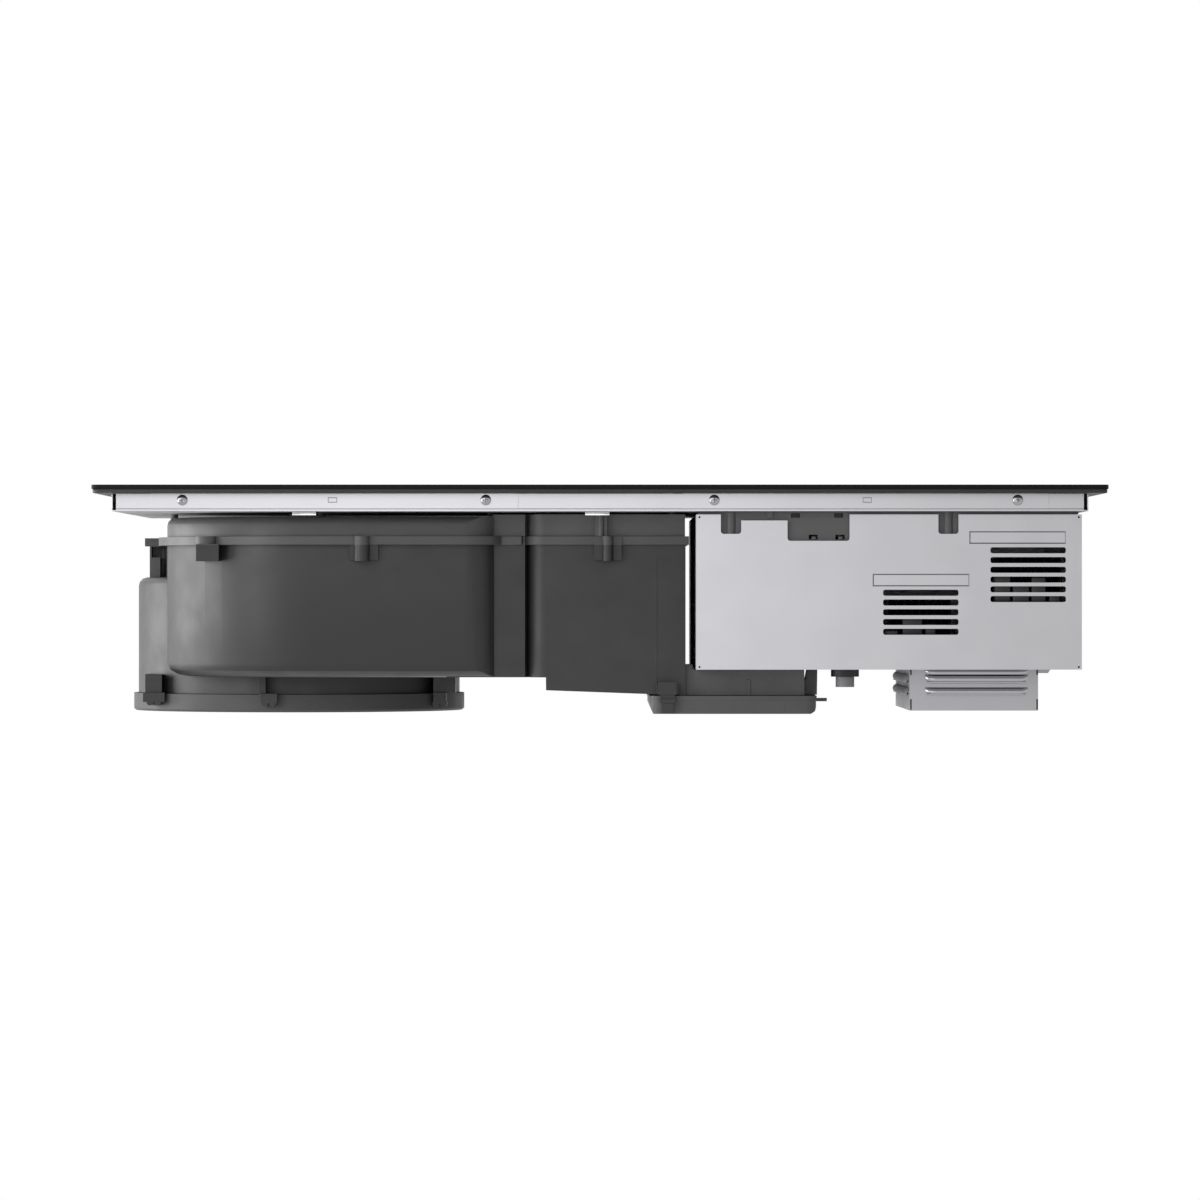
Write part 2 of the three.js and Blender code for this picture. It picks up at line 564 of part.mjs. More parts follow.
function coverDish() {
  const { radius, top, bottom } = COVER;
  const dish = turned([[0, bottom], [radius - 2, bottom], [radius, bottom + 2], [radius, top],
    [radius - 4, top], [radius - 4, bottom + 3], [0, bottom + 3]], 0, 0, SIDES);
  const vents = [-1, 0, 1].flatMap((row) => [-1, 1].map((side) =>
    block(side * 90 - 18, side * 90 + 18, row * 18 - 3, row * 18 + 3, bottom - 1, bottom + 4)));
  const seat = cut(
    post(52, 0, 0, bottom + 1, bottom + 8, 28),
    post(MOTOR.radius + GAP + 0.6, 0, 0, bottom + 3, bottom + 9, 28));
  return cut(join(dish, seat), ...vents);
}

// A snap clip at the cover's edge, drawn at angle 0: a post on the can and a hook with two rounded feet.
const CLIP = { seat: -182.5, hook: -191.4, foot: 3.2 };
function snapClip() {
  const r = COVER.radius + 0.4;
  return join(
    block(CAN.radius + GAP, r + 5, -8.5, 8.5, CLIP.seat - 0.8, SCROLL.bottom - GAP),
    block(r, r + 7.5, -10.3, 10.3, CLIP.hook, CLIP.seat),
    pegX(CLIP.foot, -4, CLIP.hook, r + 1, r + 7),
    pegX(CLIP.foot, 4, CLIP.hook, r + 1, r + 7));
}

// The front clips face the user's side squarely. wall and hook are spans along X, front is the hook's face.
function squareClip({ wall, hook, front, top, bottom }) {
  const canRound = post(CAN.radius + GAP, 0, 0, -FAR, FAR, SIDES);
  const coverRound = post(COVER.radius + 0.4, 0, 0, -FAR, FAR, SIDES);
  const back = front + 46;
  const middle = (hook[0] + hook[1]) / 2;
  const feet = [-3.6, 3.6].map((x) => pegY(CLIP.foot, middle + x, bottom, front, back));
  return join(
    cut(block(wall[0], wall[1], front + 3, back, CLIP.seat - 0.8, top), canRound),
    cut(join(block(hook[0], hook[1], front, back, bottom, CLIP.seat), ...feet), coverRound));
}

function outletSpigot() {
  const half = 111;
  const height = [OUTLET.bottom - 0.3, OUTLET.top + 0.6];
  const y0 = OUTLET.rear + GAP;
  const flange = block(-118, 118, y0, y0 + 4, height[0], height[1]);
  const sleeve = block(-half, half, y0, y0 + 36, height[0] + 1.5, height[1] - 1.5);
  const passage = block(-half + 2, half - 2, y0 - 1, y0 + 40, height[0] + 3.5, height[1] - 3.5);
  return cut(join(flange, sleeve), passage);
}

add('blower_upper_shell', upperShell(), 'plastic');
const housing = lowerHousing();
add('blower_lower_shell', cut(housing, rightOf(SPLIT_X - GAP / 2)), 'plastic');
add('intake_duct', cut(housing, leftOf(SPLIT_X + GAP / 2)), 'plastic');
const blower = at(CAN.x, CAN.y, 0);
add('volute_insert', voluteInsert(), 'plastic', blower);
add('fan_wheel', fanWheel(), 'black', blower);
add('motor', join(
  turned([[0, COVER.bottom + 3.3], [MOTOR.radius, COVER.bottom + 3.3], [MOTOR.radius, MOTOR.top - 4],
    [MOTOR.radius - 4, MOTOR.top], [12, MOTOR.top], [12, MOTOR.top + 1.5], [5.8, MOTOR.top + 1.5],
    [5.8, MOTOR.top - 12], [0, MOTOR.top - 12]], 0, 0, 28)), 'steel', blower);
add('motor_shaft', post(5, 0, 0, MOTOR.top - 11, WHEEL.bottom + 14, 20), 'steel', blower);
add('blower_cover', coverDish(), 'plastic', blower);
[
  { wall: [-138.5, -122.8], hook: [-140.4, -120], front: -106, top: -165.5, bottom: CLIP.hook },
  { wall: [-30, -23], hook: [-28.1, -12.3], front: -164, top: SCROLL.bottom - GAP, bottom: CLIP.hook },
  { wall: [129.5, 150.1], hook: [129.5, 141.6], front: -95, top: SCROLL.bottom - GAP, bottom: -193 },
].forEach((shape, i) => add(`cover_clip_${i + 1}`, squareClip(shape), 'plastic', at(CAN.x, CAN.y, 0)));
[30, 150].forEach((degrees, i) => {
  const place = at(CAN.x, CAN.y, 0);
  place.rotation.z = THREE.MathUtils.degToRad(degrees);
  add(`cover_clip_${i + 4}`, snapClip(), 'plastic', place);
});
add('outlet_spigot', outletSpigot(), 'plastic', at(CAN.x, 0, 0));

// ---- drip tray and its clips ----
function dripTray() {
  const { left, right, front, rear, top, bottom, corner } = TRAY;
  const tub = (inset, z0, z1) =>
    plate(left + inset, right - inset, front + inset, rear - inset, corner - inset * 0.6, z0, z1);
  const ends = prismY([
    [left + 3, bottom], [right - 5, bottom], [right - 1.2, bottom + 2.4], [right, bottom + 6],
    [right, top], [left, top], [left, bottom + 7],
  ], front - 1, rear + 1);
  const floorRoom = plate(left + 6.4, right - 7.5, front + 2.5, rear - 2.5, 3, bottom + 2.5, top + 1);
  const body = cut(tub(0, bottom, top).intersect(ends), tub(2.5, bottom + 6, top + 1), floorRoom);
  const rim = cut(tub(-0.6, top - 3.8, top), tub(2.5, top - 6, top + 1));
  const lugs = join(
    block(57, 66, front - 2.6, front + 1, -195.5, -191),
    block(127, 136, rear - 1, rear + 2.6, -195.5, -191));
  const fingerTab = join(
    block(right - 1, right + 11.2, -154, -142, -188.4, -186.4),
    pegX(1.6, -152, -187.8, right - 1, right + 11.2, 10));
  const ribs = [121, 167].map((x) => block(x, x + 1.2, front - 0.4, front + 1, bottom + 3, top - 5));
  return join(body, rim, lugs, fingerTab, ...ribs);
}

// A clip hangs on its pin and its nose stands just in front of the tray's lug.
// Drawn for the front (-Y) side.
function trayClip() {
  const arm = block(-8.4, 8.4, -9.8, -6.2, -5.7, 6.2);
  const stem = block(-6.8, 6.8, -8.6, -6.2, -13, -5);
  const grip = block(-5.6, 5.6, -9.8, -6.2, -22.8, -12);
  const barrel = pegX(3.1, 0, 0, -5.1, 5.1);
  const bridge = block(-5.1, 5.1, -7, 0, -2.4, 2.4);
  const bar = block(-7.2, 7.2, -11.4, -6.2, -13, -9.4);
  return cut(join(arm, stem, grip, barrel, bridge, bar), pegX(1.6, 0, 0, -12, 12, 12));
}

add('drip_tray', dripTray(), 'plastic');
const clipPin = () => pegX(1.2, 0, 0, -9.8, 9.8, 12);
const frontClip = at(61.5, DUCT.front - 5, -177);
add('tray_clip_front', trayClip(), 'plastic', frontClip);
add('clip_pin_front', clipPin(), 'steel', frontClip);
const rearClip = at(131.5, SUMP.rear + 5, -177);
rearClip.rotation.z = Math.PI;
add('tray_clip_rear', trayClip(), 'plastic', rearClip);
add('clip_pin_rear', clipPin(), 'steel', rearClip);

// ---- electronics box ----
// A cutter along Y with rounded corners.
function roundedBar(x0, x1, z0, z1, r, y0, y1) {
  const bar = prism(roundedRect(x0, x1, z0, z1, r), y0, y1, 3);
  return bar.rotate([90, 0, 0]).mirror([0, 1, 0]);
}

function slotRow(x0, top, count) {
  const y0 = BOX.front - 2;
  return Array.from({ length: count }, (_, i) => {
    const z1 = top - i * SLOT.pitch;
    return roundedBar(x0, x0 + SLOT.length, z1 - SLOT.height, z1, SLOT.corner, y0, BOX.front + 3);
  });
}

// A recess in a sheet at y0, with sloping sides.
function pressedRecess(x0, x1, z0, z1, y0, deep, slope) {
  const shape = new THREE.Shape([[x0 + slope, z0 + slope], [x1 - slope, z0 + slope],
    [x1 - slope, z1 - slope], [x0 + slope, z1 - slope]].map(([x, z]) => new THREE.Vector2(x, z)));
  const geometry = new THREE.ExtrudeGeometry(shape, {
    depth: 1, bevelThickness: deep, bevelSize: slope, bevelSegments: 1 });
  geometry.rotateX(Math.PI / 2);
  geometry.translate(0, y0, 0);
  return solid(geometry);
}

function frontPanel() {
  const y0 = BOX.front - 0.6;
  const y1 = BOX.front + 0.6;
  const sheet = block(BOX.left, BOX.right, y0, y1, BOX.bottom, BOX.top);
  const notch = (x0, x1, bottom) => roundedBar(x0, x1, bottom, BOX.top + 10, 2.6, y0 - 1, y1 + 1);
  const notches = [notch(109.3, 127.7, -36.6), notch(125, 172, -24.5), notch(169.6, 225.7, -42.9),
    notch(306, 324.2, -36.6)];
  const pressedBars = [[334, 421.4, -34.2], [246.6, 334.1, -72.7]].map(([x0, x1, top]) =>
    pressedRecess(x0, x1, top - 11.4, top, y0, 0.6, 1.1));
  const reliefs = [[90, -157], [433, -157], [90, -21.5], [433, -21.5]].map(([x, z]) =>
    pegY(1, x, z, y0 - 1, y1 + 1, 8));
  const slots = [...slotRow(353.1, -48.7, 6), ...slotRow(256, -87.1, 5)];
  return cut(sheet, ...notches, ...pressedBars, ...reliefs, ...slots);
}

const boxFront = BOX.front + 0.6 + GAP;
function boxBody() {
  const { left, right, rear, bottom, top, sheet } = BOX;
  const outer = block(left + 0.1, right - 0.1, boxFront, rear, bottom + 0.2, top - GAP);
  const inner = block(left + 0.1 + sheet, right - 0.1 - sheet, boxFront - 1, rear - sheet,
    bottom + 0.2 + sheet, top + 1);
  const air = [FAN.frontY, FAN.rearY].map((y) => post(33, FAN.x, y, bottom - 1, bottom + 3, 32));
  const gland = post(8.6, GLAND.x, GLAND.y, bottom - 1, bottom + 3, 24);
  const backSlots = Array.from({ length: 8 }, (_, i) =>
    block(120, 200, rear - 3, rear + 1, -120 + i * 9, -115.5 + i * 9));
  return cut(outer, inner, ...air, gland, ...backSlots);
}

function boardCarrier() {
  const top = PAN.bottom - GAP;
  const tray = block(89.5, 433, -231.5, 210, top - 2.2, top);
  const apron = block(100, 332, -231.5, -228.5, -50, top);
  const bosses = [118.5, 315.1].map((x) => join(
    post(5, x, -228.8, -42, top, 16), block(x - 8, x + 8, -231.5, -228, -44, top)));
  const bump = block(151.5, 156.5, -233, -231, -22.5, top);
  const holes = [[173, 181], [212, 220]].map(([x0, x1]) => block(x0, x1, -234, -227.9, -21.8, -17.9)).concat(
    [[189, 197], [213, 221.5]].map(([x0, x1]) => block(x0, x1, -234, -227.9, -41.6, -37.4)));
  const wirePass = block(232, 290, -226, -206, top - 3, top + 1);
  const airPass = [-120, 130].map((y) => block(255, 325, y - 35, y + 35, top - 3, top + 1));
  return cut(join(tray, apron, ...bosses, bump), ...holes, wirePass, ...airPass);
}

function powerBoard(x0, x1, y0, y1, z) {
  const feet = [[x0 + 6, y0 + 6], [x1 - 6, y0 + 6], [x0 + 6, y1 - 6], [x1 - 6, y1 - 6]].map(([x, y]) =>
    post(3, x, y, BOX.bottom + 0.2 + BOX.sheet + GAP, z + 0.5, 10));
  return join(block(x0, x1, y0, y1, z, z + 1.6), ...feet);
}

function heatSink(x0, x1, y0, y1, z0, z1) {
  const count = 9;
  const pitch = (x1 - x0 - 2) / (count - 1);
  const fins = Array.from({ length: count }, (_, i) =>
    block(x0 + i * pitch, x0 + i * pitch + 2, y0, y1, z0 + 1, z1));
  return join(block(x0, x1, y0, y1, z0, z0 + 6), ...fins);
}

add('box_front_panel', frontPanel(), 'sheet');
add('electronics_box', boxBody(), 'sheet');
add('board_carrier', boardCarrier(), 'plastic');
add('power_board_left', powerBoard(246, 332, -225, -60, -132), 'board');
add('power_board_right', powerBoard(346, 430, -225, -60, -104), 'board');
add('heat_sink_left', heatSink(262, 318, -215, -80, -130.1, -96), 'aluminium');
add('heat_sink_right', heatSink(360, 418, -215, -80, -102.1, -58), 'aluminium');
add('supply_board', powerBoard(100, 250, 10, 190, -148), 'board');
add('terminal_block', cut(
  block(200, 246, -166, -138, BOX.bottom + 1.2 + GAP, -132),
  ...[0, 1, 2, 3].map((i) => block(204 + i * 10.5, 212 + i * 10.5, -160, -144, -138, -131))), 'black');

// ---- cooling fans ----
function fanFrame() {
  const half = FAN.size / 2;
  const { bottom, top } = FAN;
  const frame = cut(
    plate(-half, half, -half, half, 5, bottom, top),
    post(half - 2.5, 0, 0, bottom - 1, top + 1, 24));
  const spokes = [0, 1, 2, 3].map((i) => {
    const geometry = new THREE.BoxGeometry(half - 10, 3, 2);
    geometry.translate((half - 10) / 2 + 9.5, 0, bottom + 1);
    geometry.rotateZ(Math.PI / 4 + i * Math.PI / 2);
    return solid(geometry);
  });
  return join(frame, post(13, 0, 0, bottom, bottom + 3, 24), ...spokes);
}

function fanRotor() {
  const { bottom, top } = FAN;
  const hub = turned(
    [[0, bottom + 3.6], [14, bottom + 3.6], [14, top - 2], [12, top - 1], [0, top - 1]], 0, 0, 20);
  const blades = Array.from({ length: 7 }, (_, i) => {
    const geometry = new THREE.BoxGeometry(22, 20, 1.6);
    geometry.rotateX(0.55);
    geometry.translate(23, 0, (bottom + top) / 2 + 1);
    geometry.rotateZ(i * 2 * Math.PI / 7);
    return solid(geometry).intersect(post(33.6, 0, 0, bottom + 3.6, top - 1, 20));
  });
  return join(hub, ...blades);
}

[['front', FAN.frontY], ['rear', FAN.rearY]].forEach(([word, y]) => {
  const place = at(FAN.x, y, 0);
  add(`cooling_fan_frame_${word}`, fanFrame(), 'black', place);
  add(`cooling_fan_rotor_${word}`, fanRotor(), 'black', place);
});

// ---- louvred cowl and cable gland ----
// A louvre is a slot under a pressed lip; the lip's section is drawn from the wall outwards.
const LOUVRE = { tops: [-166.4, -177.6], height: 6.2, reach: 3.4 };
function louvredCowl() {
  const { left, right, front, rear, bottom, sheet } = COWL;
  const top = BOX.bottom - 0.1;
  const shell = cut(
    block(left, right, front, rear, bottom, top),
    block(left + sheet, right - sheet, front + sheet, rear - sheet, bottom + sheet, top + 1));
  const ears = join(
    prismY([[right - 0.5, top], [right + 12, top], [right + 9.5, top - 4], [right - 0.5, top - 4]],
      front + 6, front + 30),
    block(left + 20, right - 20, rear - 0.5, rear + 12, top - 1.2, top));
  const slots = [];
  const lips = [];
  for (const z of LOUVRE.tops) {
    const low = z - LOUVRE.height;
    slots.push(block(left + 18, right - 14, front - 1, front + 2, low, low + 2.2));
    lips.push(prismX([[front + 0.5, z], [front - LOUVRE.reach, low + 1.2], [front - LOUVRE.reach, low],
      [front - LOUVRE.reach + 0.9, low], [front + 0.5, z - 1.6]], left + 16, right - 12));
    for (const y0 of [front + 24, front + 146]) {
      slots.push(block(left - 1, left + 2, y0 + 2, y0 + 98, low, low + 2.2));
      lips.push(prismY([[left + 0.5, z], [left - LOUVRE.reach, low + 1.2], [left - LOUVRE.reach, low],
        [left - LOUVRE.reach + 0.9, low], [left + 0.5, z - 1.6]], y0, y0 + 100));
    }
  }
  return join(cut(join(shell, ears), ...slots), ...lips);
}

add('louvred_cowl', louvredCowl(), 'sheet');
const gland = at(GLAND.x, GLAND.y, 0);
add('gland_nut', cut(
  post(GLAND.nut, 0, 0, -166.3, BOX.bottom - GAP, 20),
  post(8.6, 0, 0, -168, BOX.bottom + 1, 20)), 'black', gland);
add('gland_body', cut(
  join(post(8.2, 0, 0, -175.7, -150, 20), post(11, 0, 0, -157.9, -152, 6),
    post(GLAND.body, 0, 0, -175.7, -166.6, 20)),
  post(5.2, 0, 0, -177, -148, 12)), 'gland', gland);

export default cooktop;
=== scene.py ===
"""A downdraft induction cooktop seen level from the front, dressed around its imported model."""
import json
from math import cos, pi, radians, sin

import bmesh
import bpy
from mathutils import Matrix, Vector


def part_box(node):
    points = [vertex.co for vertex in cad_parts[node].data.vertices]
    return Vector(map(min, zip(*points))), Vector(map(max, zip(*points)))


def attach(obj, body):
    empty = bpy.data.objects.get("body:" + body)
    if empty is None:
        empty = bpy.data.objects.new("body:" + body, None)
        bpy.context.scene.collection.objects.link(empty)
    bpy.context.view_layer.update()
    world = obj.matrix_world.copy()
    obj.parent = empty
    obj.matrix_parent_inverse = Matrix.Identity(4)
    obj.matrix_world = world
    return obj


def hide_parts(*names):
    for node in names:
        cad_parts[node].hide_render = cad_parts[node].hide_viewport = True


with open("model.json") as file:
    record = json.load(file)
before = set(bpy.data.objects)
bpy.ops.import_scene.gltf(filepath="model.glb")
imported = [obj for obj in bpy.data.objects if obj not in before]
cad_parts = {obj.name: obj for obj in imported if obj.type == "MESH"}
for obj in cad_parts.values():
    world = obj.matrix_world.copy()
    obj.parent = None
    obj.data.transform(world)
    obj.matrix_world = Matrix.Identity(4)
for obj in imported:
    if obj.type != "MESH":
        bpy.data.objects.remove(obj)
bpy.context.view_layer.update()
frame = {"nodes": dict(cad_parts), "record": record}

MM = 0.001
CHASSIS = "chassis"
BODY_OF = {
    name: body
    for body, names in frame["record"]["behaviour"]["bodies"].items()
    for name in names
}


# ---------------------------------------------------------------- camera
PHOTO_SIDE = 1200
VIEW_DISTANCE = 5.779        # camera to the object's middle, in metres
VIEW_HEIGHT = -0.0964        # the photograph is level with the object's mid-height
PIXELS_PER_RADIAN = 6130     # of the photograph's frame, from the skirt's front and rear widths

camera_data = bpy.data.cameras.new("camera")
camera_data.sensor_width = 36
camera_data.lens = PIXELS_PER_RADIAN / PHOTO_SIDE * camera_data.sensor_width
camera_data.clip_end = 50
camera = bpy.data.objects.new("camera", camera_data)
camera.location = (0, -VIEW_DISTANCE, VIEW_HEIGHT)
camera.rotation_euler = (pi / 2, 0, 0)
bpy.context.collection.objects.link(camera)
bpy.context.scene.camera = camera


# ---------------------------------------------------------------- colours and nodes
def colour(code):
    """An sRGB hex colour as linear RGBA."""
    values = [int(code[i : i + 2], 16) / 255 for i in (1, 3, 5)]
    linear = [v / 12.92 if v <= 0.04045 else ((v + 0.055) / 1.055) ** 2.4 for v in values]
    return (*linear, 1)


def node(tree, kind, inputs=None, **settings):
    """Adds a node, with its settings, and with a value or a link for each named input."""
    made = tree.nodes.new(kind)
    for key, value in settings.items():
        setattr(made, key, value)
    for name, value in (inputs or {}).items():
        if isinstance(value, bpy.types.NodeSocket):
            tree.links.new(value, made.inputs[name])
        else:
            made.inputs[name].default_value = value
    return made


def new_material(name, **shader):
    """A material with one Principled shader, whose uniform values are set on its own sockets."""
    made = bpy.data.materials.new(name)
    made.use_nodes = True
    surface = made.node_tree.nodes["Principled BSDF"]
    for key, value in shader.items():
        surface.inputs[key.replace("_", " ").title().replace("Ior", "IOR")].default_value = value
    return made, made.node_tree, surface


def per_mm(millimetres):
    """A texture's scale, in cycles per metre, for a feature of this size."""
    return 1 / (millimetres * MM)


def vary(tree, place, size_mm, low, high, detail=2.0):
    """A number that wanders between two values over features of the given size."""
    noise = node(tree, "ShaderNodeTexNoise", {
        "Vector": place, "Scale": per_mm(size_mm), "Detail": detail})
    return node(tree, "ShaderNodeMapRange", {
        "Value": noise.outputs["Fac"], "From Min": 0.3, "From Max": 0.7, "To Min": low, "To Max": high,
    }).outputs["Result"]


def two_tones(tree, factor, first, second):
    """A colour between two sRGB tones."""
    mix = node(tree, "ShaderNodeMix", data_type="RGBA")
    tree.links.new(factor, mix.inputs["Factor"])
    mix.inputs[6].default_value = colour(first)
    mix.inputs[7].default_value = colour(second)
    return mix.outputs[2]


def bumped(tree, surface, height, strength, distance_mm):
    """Raises the surface's relief from a height value."""
    bump = node(tree, "ShaderNodeBump", {
        "Height": height, "Strength": strength, "Distance": distance_mm * MM})
    tree.links.new(bump.outputs["Normal"], surface.inputs["Normal"])


def object_place(tree):
    return node(tree, "ShaderNodeTexCoord").outputs["Object"]


def moulded_plastic(name, light, dark, rough, grain_mm=0.9, specular=0.5):
    """Plastic from a spark-eroded mould: an even tone, a fine grain and slightly uneven gloss."""
    made, tree, surface = new_material(name, ior=1.46, specular_ior_level=specular)
    place = object_place(tree)
    tone = two_tones(tree, vary(tree, place, 60, 0, 1), dark, light)
    tree.links.new(tone, surface.inputs["Base Color"])
    tree.links.new(vary(tree, place, 25, rough - 0.05, rough + 0.05), surface.inputs["Roughness"])
    grain = node(tree, "ShaderNodeTexNoise", {
        "Vector": place, "Scale": per_mm(grain_mm), "Detail": 3.0})
    bumped(tree, surface, grain.outputs["Fac"], 0.25, 0.05)
    return made


def sheet_metal(name, light, dark, rough, cloud_mm=40, streak=0.04):
    """Rolled sheet: a barely cloudy tone, and fine rolling lines along X that spread the gloss."""
    made, tree, surface = new_material(name, metallic=1.0)
    place = object_place(tree)
    cloud = vary(tree, place, cloud_mm, 0, 1, 1.0)
    tree.links.new(two_tones(tree, cloud, dark, light), surface.inputs["Base Color"])
    lines = node(tree, "ShaderNodeMapping", {"Vector": place, "Scale": (0.02, 1, 1)})
    rolled = node(tree, "ShaderNodeTexNoise", {
        "Vector": lines.outputs["Vector"], "Scale": per_mm(0.8), "Detail": 2.0})
    gloss = node(tree, "ShaderNodeMapRange", {
        "Value": rolled.outputs["Fac"], "To Min": rough - streak, "To Max": rough + streak})
    tree.links.new(gloss.outputs["Result"], surface.inputs["Roughness"])
    bumped(tree, surface, rolled.outputs["Fac"], streak, 0.02)
    return made


def dull_zinc(name, light, dark):
    """Zinc with hardly any gloss: flat grey and cloudy; in a dark tone it is painted shade."""
    made, tree, surface = new_material(name, ior=1.45, specular_ior_level=0.15)
    place = object_place(tree)
    tone = two_tones(tree, vary(tree, place, 50, 0, 1), dark, light)
    tree.links.new(tone, surface.inputs["Base Color"])
    tree.links.new(vary(tree, place, 20, 0.75, 0.9), surface.inputs["Roughness"])
    return made


def bonding_silicone():
    """The black bead between the glass and its trim: rubbery, slightly wavy."""
    made, tree, surface = new_material("black_bonding_silicone", ior=1.42, specular_ior_level=0.3)
    place = object_place(tree)
    tone = two_tones(tree, vary(tree, place, 12, 0, 1), "#0c0c0c", "#111111")
    tree.links.new(tone, surface.inputs["Base Color"])
    tree.links.new(vary(tree, place, 5, 0.5, 0.65), surface.inputs["Roughness"])
    return made


def polished_black_glass():
    """Ceramic glass, printed black below: deep black with a clear reflection and very faint smears."""
    made, tree, surface = new_material(
        "black_ceramic_glass", base_color=colour("#08080a"), ior=1.52, coat_weight=0.3, coat_roughness=0.03)
    place = object_place(tree)
    tree.links.new(vary(tree, place, 80, 0.04, 0.08), surface.inputs["Roughness"])
    return made


def ground_glass_edge():
    """The same glass where its edge is ground: no clear reflection."""
    made, tree, surface = new_material("ground_glass_edge", specular_ior_level=0.12, ior=1.5)
    place = object_place(tree)
    tone = two_tones(tree, vary(tree, place, 6, 0, 1), "#0b0b0b", "#0e0e0e")
    tree.links.new(tone, surface.inputs["Base Color"])
    tree.links.new(vary(tree, place, 2, 0.5, 0.62), surface.inputs["Roughness"])
    return made


def circuit_laminate():
    """Glass-epoxy board under green solder mask, with paler tracks just showing."""
    made, tree, surface = new_material("green_circuit_laminate", ior=1.55)
    place = object_place(tree)
    tracks = node(tree, "ShaderNodeTexBrick", {
        "Vector": place, "Scale": per_mm(9), "Color1": colour("#16472b"), "Color2": colour("#123c24"),
        "Mortar": colour("#2b6b42"), "Mortar Size": 0.03})
    tree.links.new(tracks.outputs["Color"], surface.inputs["Base Color"])
    tree.links.new(vary(tree, place, 5, 0.35, 0.5), surface.inputs["Roughness"])
    return made


def varnished_copper():
    """Stranded copper under varnish: warm metal that flickers from strand to strand."""
    made, tree, surface = new_material("varnished_copper_litz", metallic=0.9)
    place = object_place(tree)
    tone = two_tones(tree, vary(tree, place, 1.5, 0, 1), "#8c4f2a", "#c27a48")
    tree.links.new(tone, surface.inputs["Base Color"])
    tree.links.new(vary(tree, place, 4, 0.35, 0.5), surface.inputs["Roughness"])
    return made


def printed_mark():
    """Light grey ceramic ink fired on the glass."""
    made, tree, surface = new_material("fired_grey_ink", ior=1.5)
    place = object_place(tree)
    tone = two_tones(tree, vary(tree, place, 1.2, 0, 1), "#8f9092", "#9c9da0")
    tree.links.new(tone, surface.inputs["Base Color"])
    tree.links.new(vary(tree, place, 3, 0.3, 0.4), surface.inputs["Roughness"])
    return made


FINISH = {
    # Glass, its edge and what is bonded or printed on it.
    "black_glass": polished_black_glass(),
    "ground_edge": ground_glass_edge(),
    "silicone": bonding_silicone(),
    "ink": printed_mark(),
    # Zinc-coated sheet: a soft sheen, brightest on the pressed hoods; the tabs are painted near white as
    # painted light, and pressed edges are painted darker as painted shade.
    "galvanised_sheet": sheet_metal("galvanised_sheet_steel", "#aeaeb1", "#ababae", 0.35),
    "strip_sheet": sheet_metal("skin_passed_galvanised_strip", "#b2b2b5", "#b0b0b3", 0.33, streak=0.015),
    "cowl_sheet": sheet_metal("galvanised_cowl_sheet", "#a0a0a3", "#9d9da0", 0.36),
    "louvre_sheet": sheet_metal("zinc_burnished_by_pressing", "#a6a6a9", "#a3a3a6", 0.2, streak=0.01),
    "painted_light_tab": sheet_metal("zinc_tab_whitened_as_painted_light", "#f2f2f4", "#eeeef0", 0.16),
    "painted_shade_pressed_rims": sheet_metal("zinc_darkened_as_painted_shade", "#6c6c6f", "#68686b", 0.45),
    "faint_painted_shade": sheet_metal("zinc_faintly_darkened_as_painted_shade", "#96969a", "#929296", 0.4),
    "zinc_screw": sheet_metal("bright_zinc_plate", "#a2a2a5", "#9a9a9d", 0.2, 3),
    # Zinc with hardly any gloss underneath, and darker zinc as painted shade in the narrow gap, below the
    # strips and on the cowl's side hoods.
    "dull_zinc": dull_zinc("dull_zinc_underside", "#b6b6b8", "#aeaeb0"),
    "painted_shade_zinc": dull_zinc("zinc_side_darkened_as_painted_shade", "#8e8e90", "#868688"),
    # Charcoal and grey mouldings: near-black mass with a broad soft highlight, each of its own tone; the
    # flange, lid and sump tones are painted light, lighter than the walls.
    "charcoal_plastic": moulded_plastic("charcoal_moulded_abs", "#282828", "#262626", 0.45, specular=0.48),
    "flange_charcoal_painted_light": moulded_plastic("charcoal_abs_lightened_flange_painted_light", "#494949", "#464646", 0.46),
    "lid_charcoal_painted_light": moulded_plastic("charcoal_abs_lightened_lid_painted_light", "#535353", "#505050", 0.46),
    "charcoal_cover": moulded_plastic("charcoal_abs_cover", "#4e4e4e", "#4b4b4b", 0.5, specular=0.2),
    "sump_charcoal_painted_light": moulded_plastic("charcoal_abs_lightened_sump_painted_light", "#565656", "#525252", 0.46),
    "charcoal_tray": moulded_plastic("charcoal_abs_tray", "#4c4c4c", "#494949", 0.44),
    "carrier_plastic": moulded_plastic("grey_moulded_carrier", "#565656", "#525252", 0.46),
    "grey_trim": moulded_plastic("dark_grey_trim_polymer", "#292929", "#272727", 0.55, specular=0.42),
    "grey_plastic": moulded_plastic("grey_moulded_pa", "#848488", "#7e7e82", 0.42),
    "black_plastic": moulded_plastic("black_moulded_pa", "#121212", "#0f0f0f", 0.45),
    "relay_case": moulded_plastic("dark_grey_relay_case", "#2c2c2c", "#242424", 0.4),
    # Enamel, metals and boards of the inner and upper parts.
    "black_enamel": moulded_plastic("black_enamelled_steel", "#101011", "#0d0d0e", 0.35, 1.4),
    "heat_sink": moulded_plastic("black_anodised_aluminium", "#050506", "#040405", 0.7, 2, 0.05),
    "aluminium_sheet": sheet_metal("mill_finish_aluminium", "#b4b6b9", "#a9abae", 0.38, 10),
    "stainless_steel": sheet_metal("satin_stainless_steel", "#a2a4a7", "#96989b", 0.34, 8),
    "copper_litz": varnished_copper(),
    "circuit_board": circuit_laminate(),
}


# ---------------------------------------------------------------- meshes
SLOT_OF = {row["node"]: row["material_slot"] for row in frame["record"]["subparts"]}


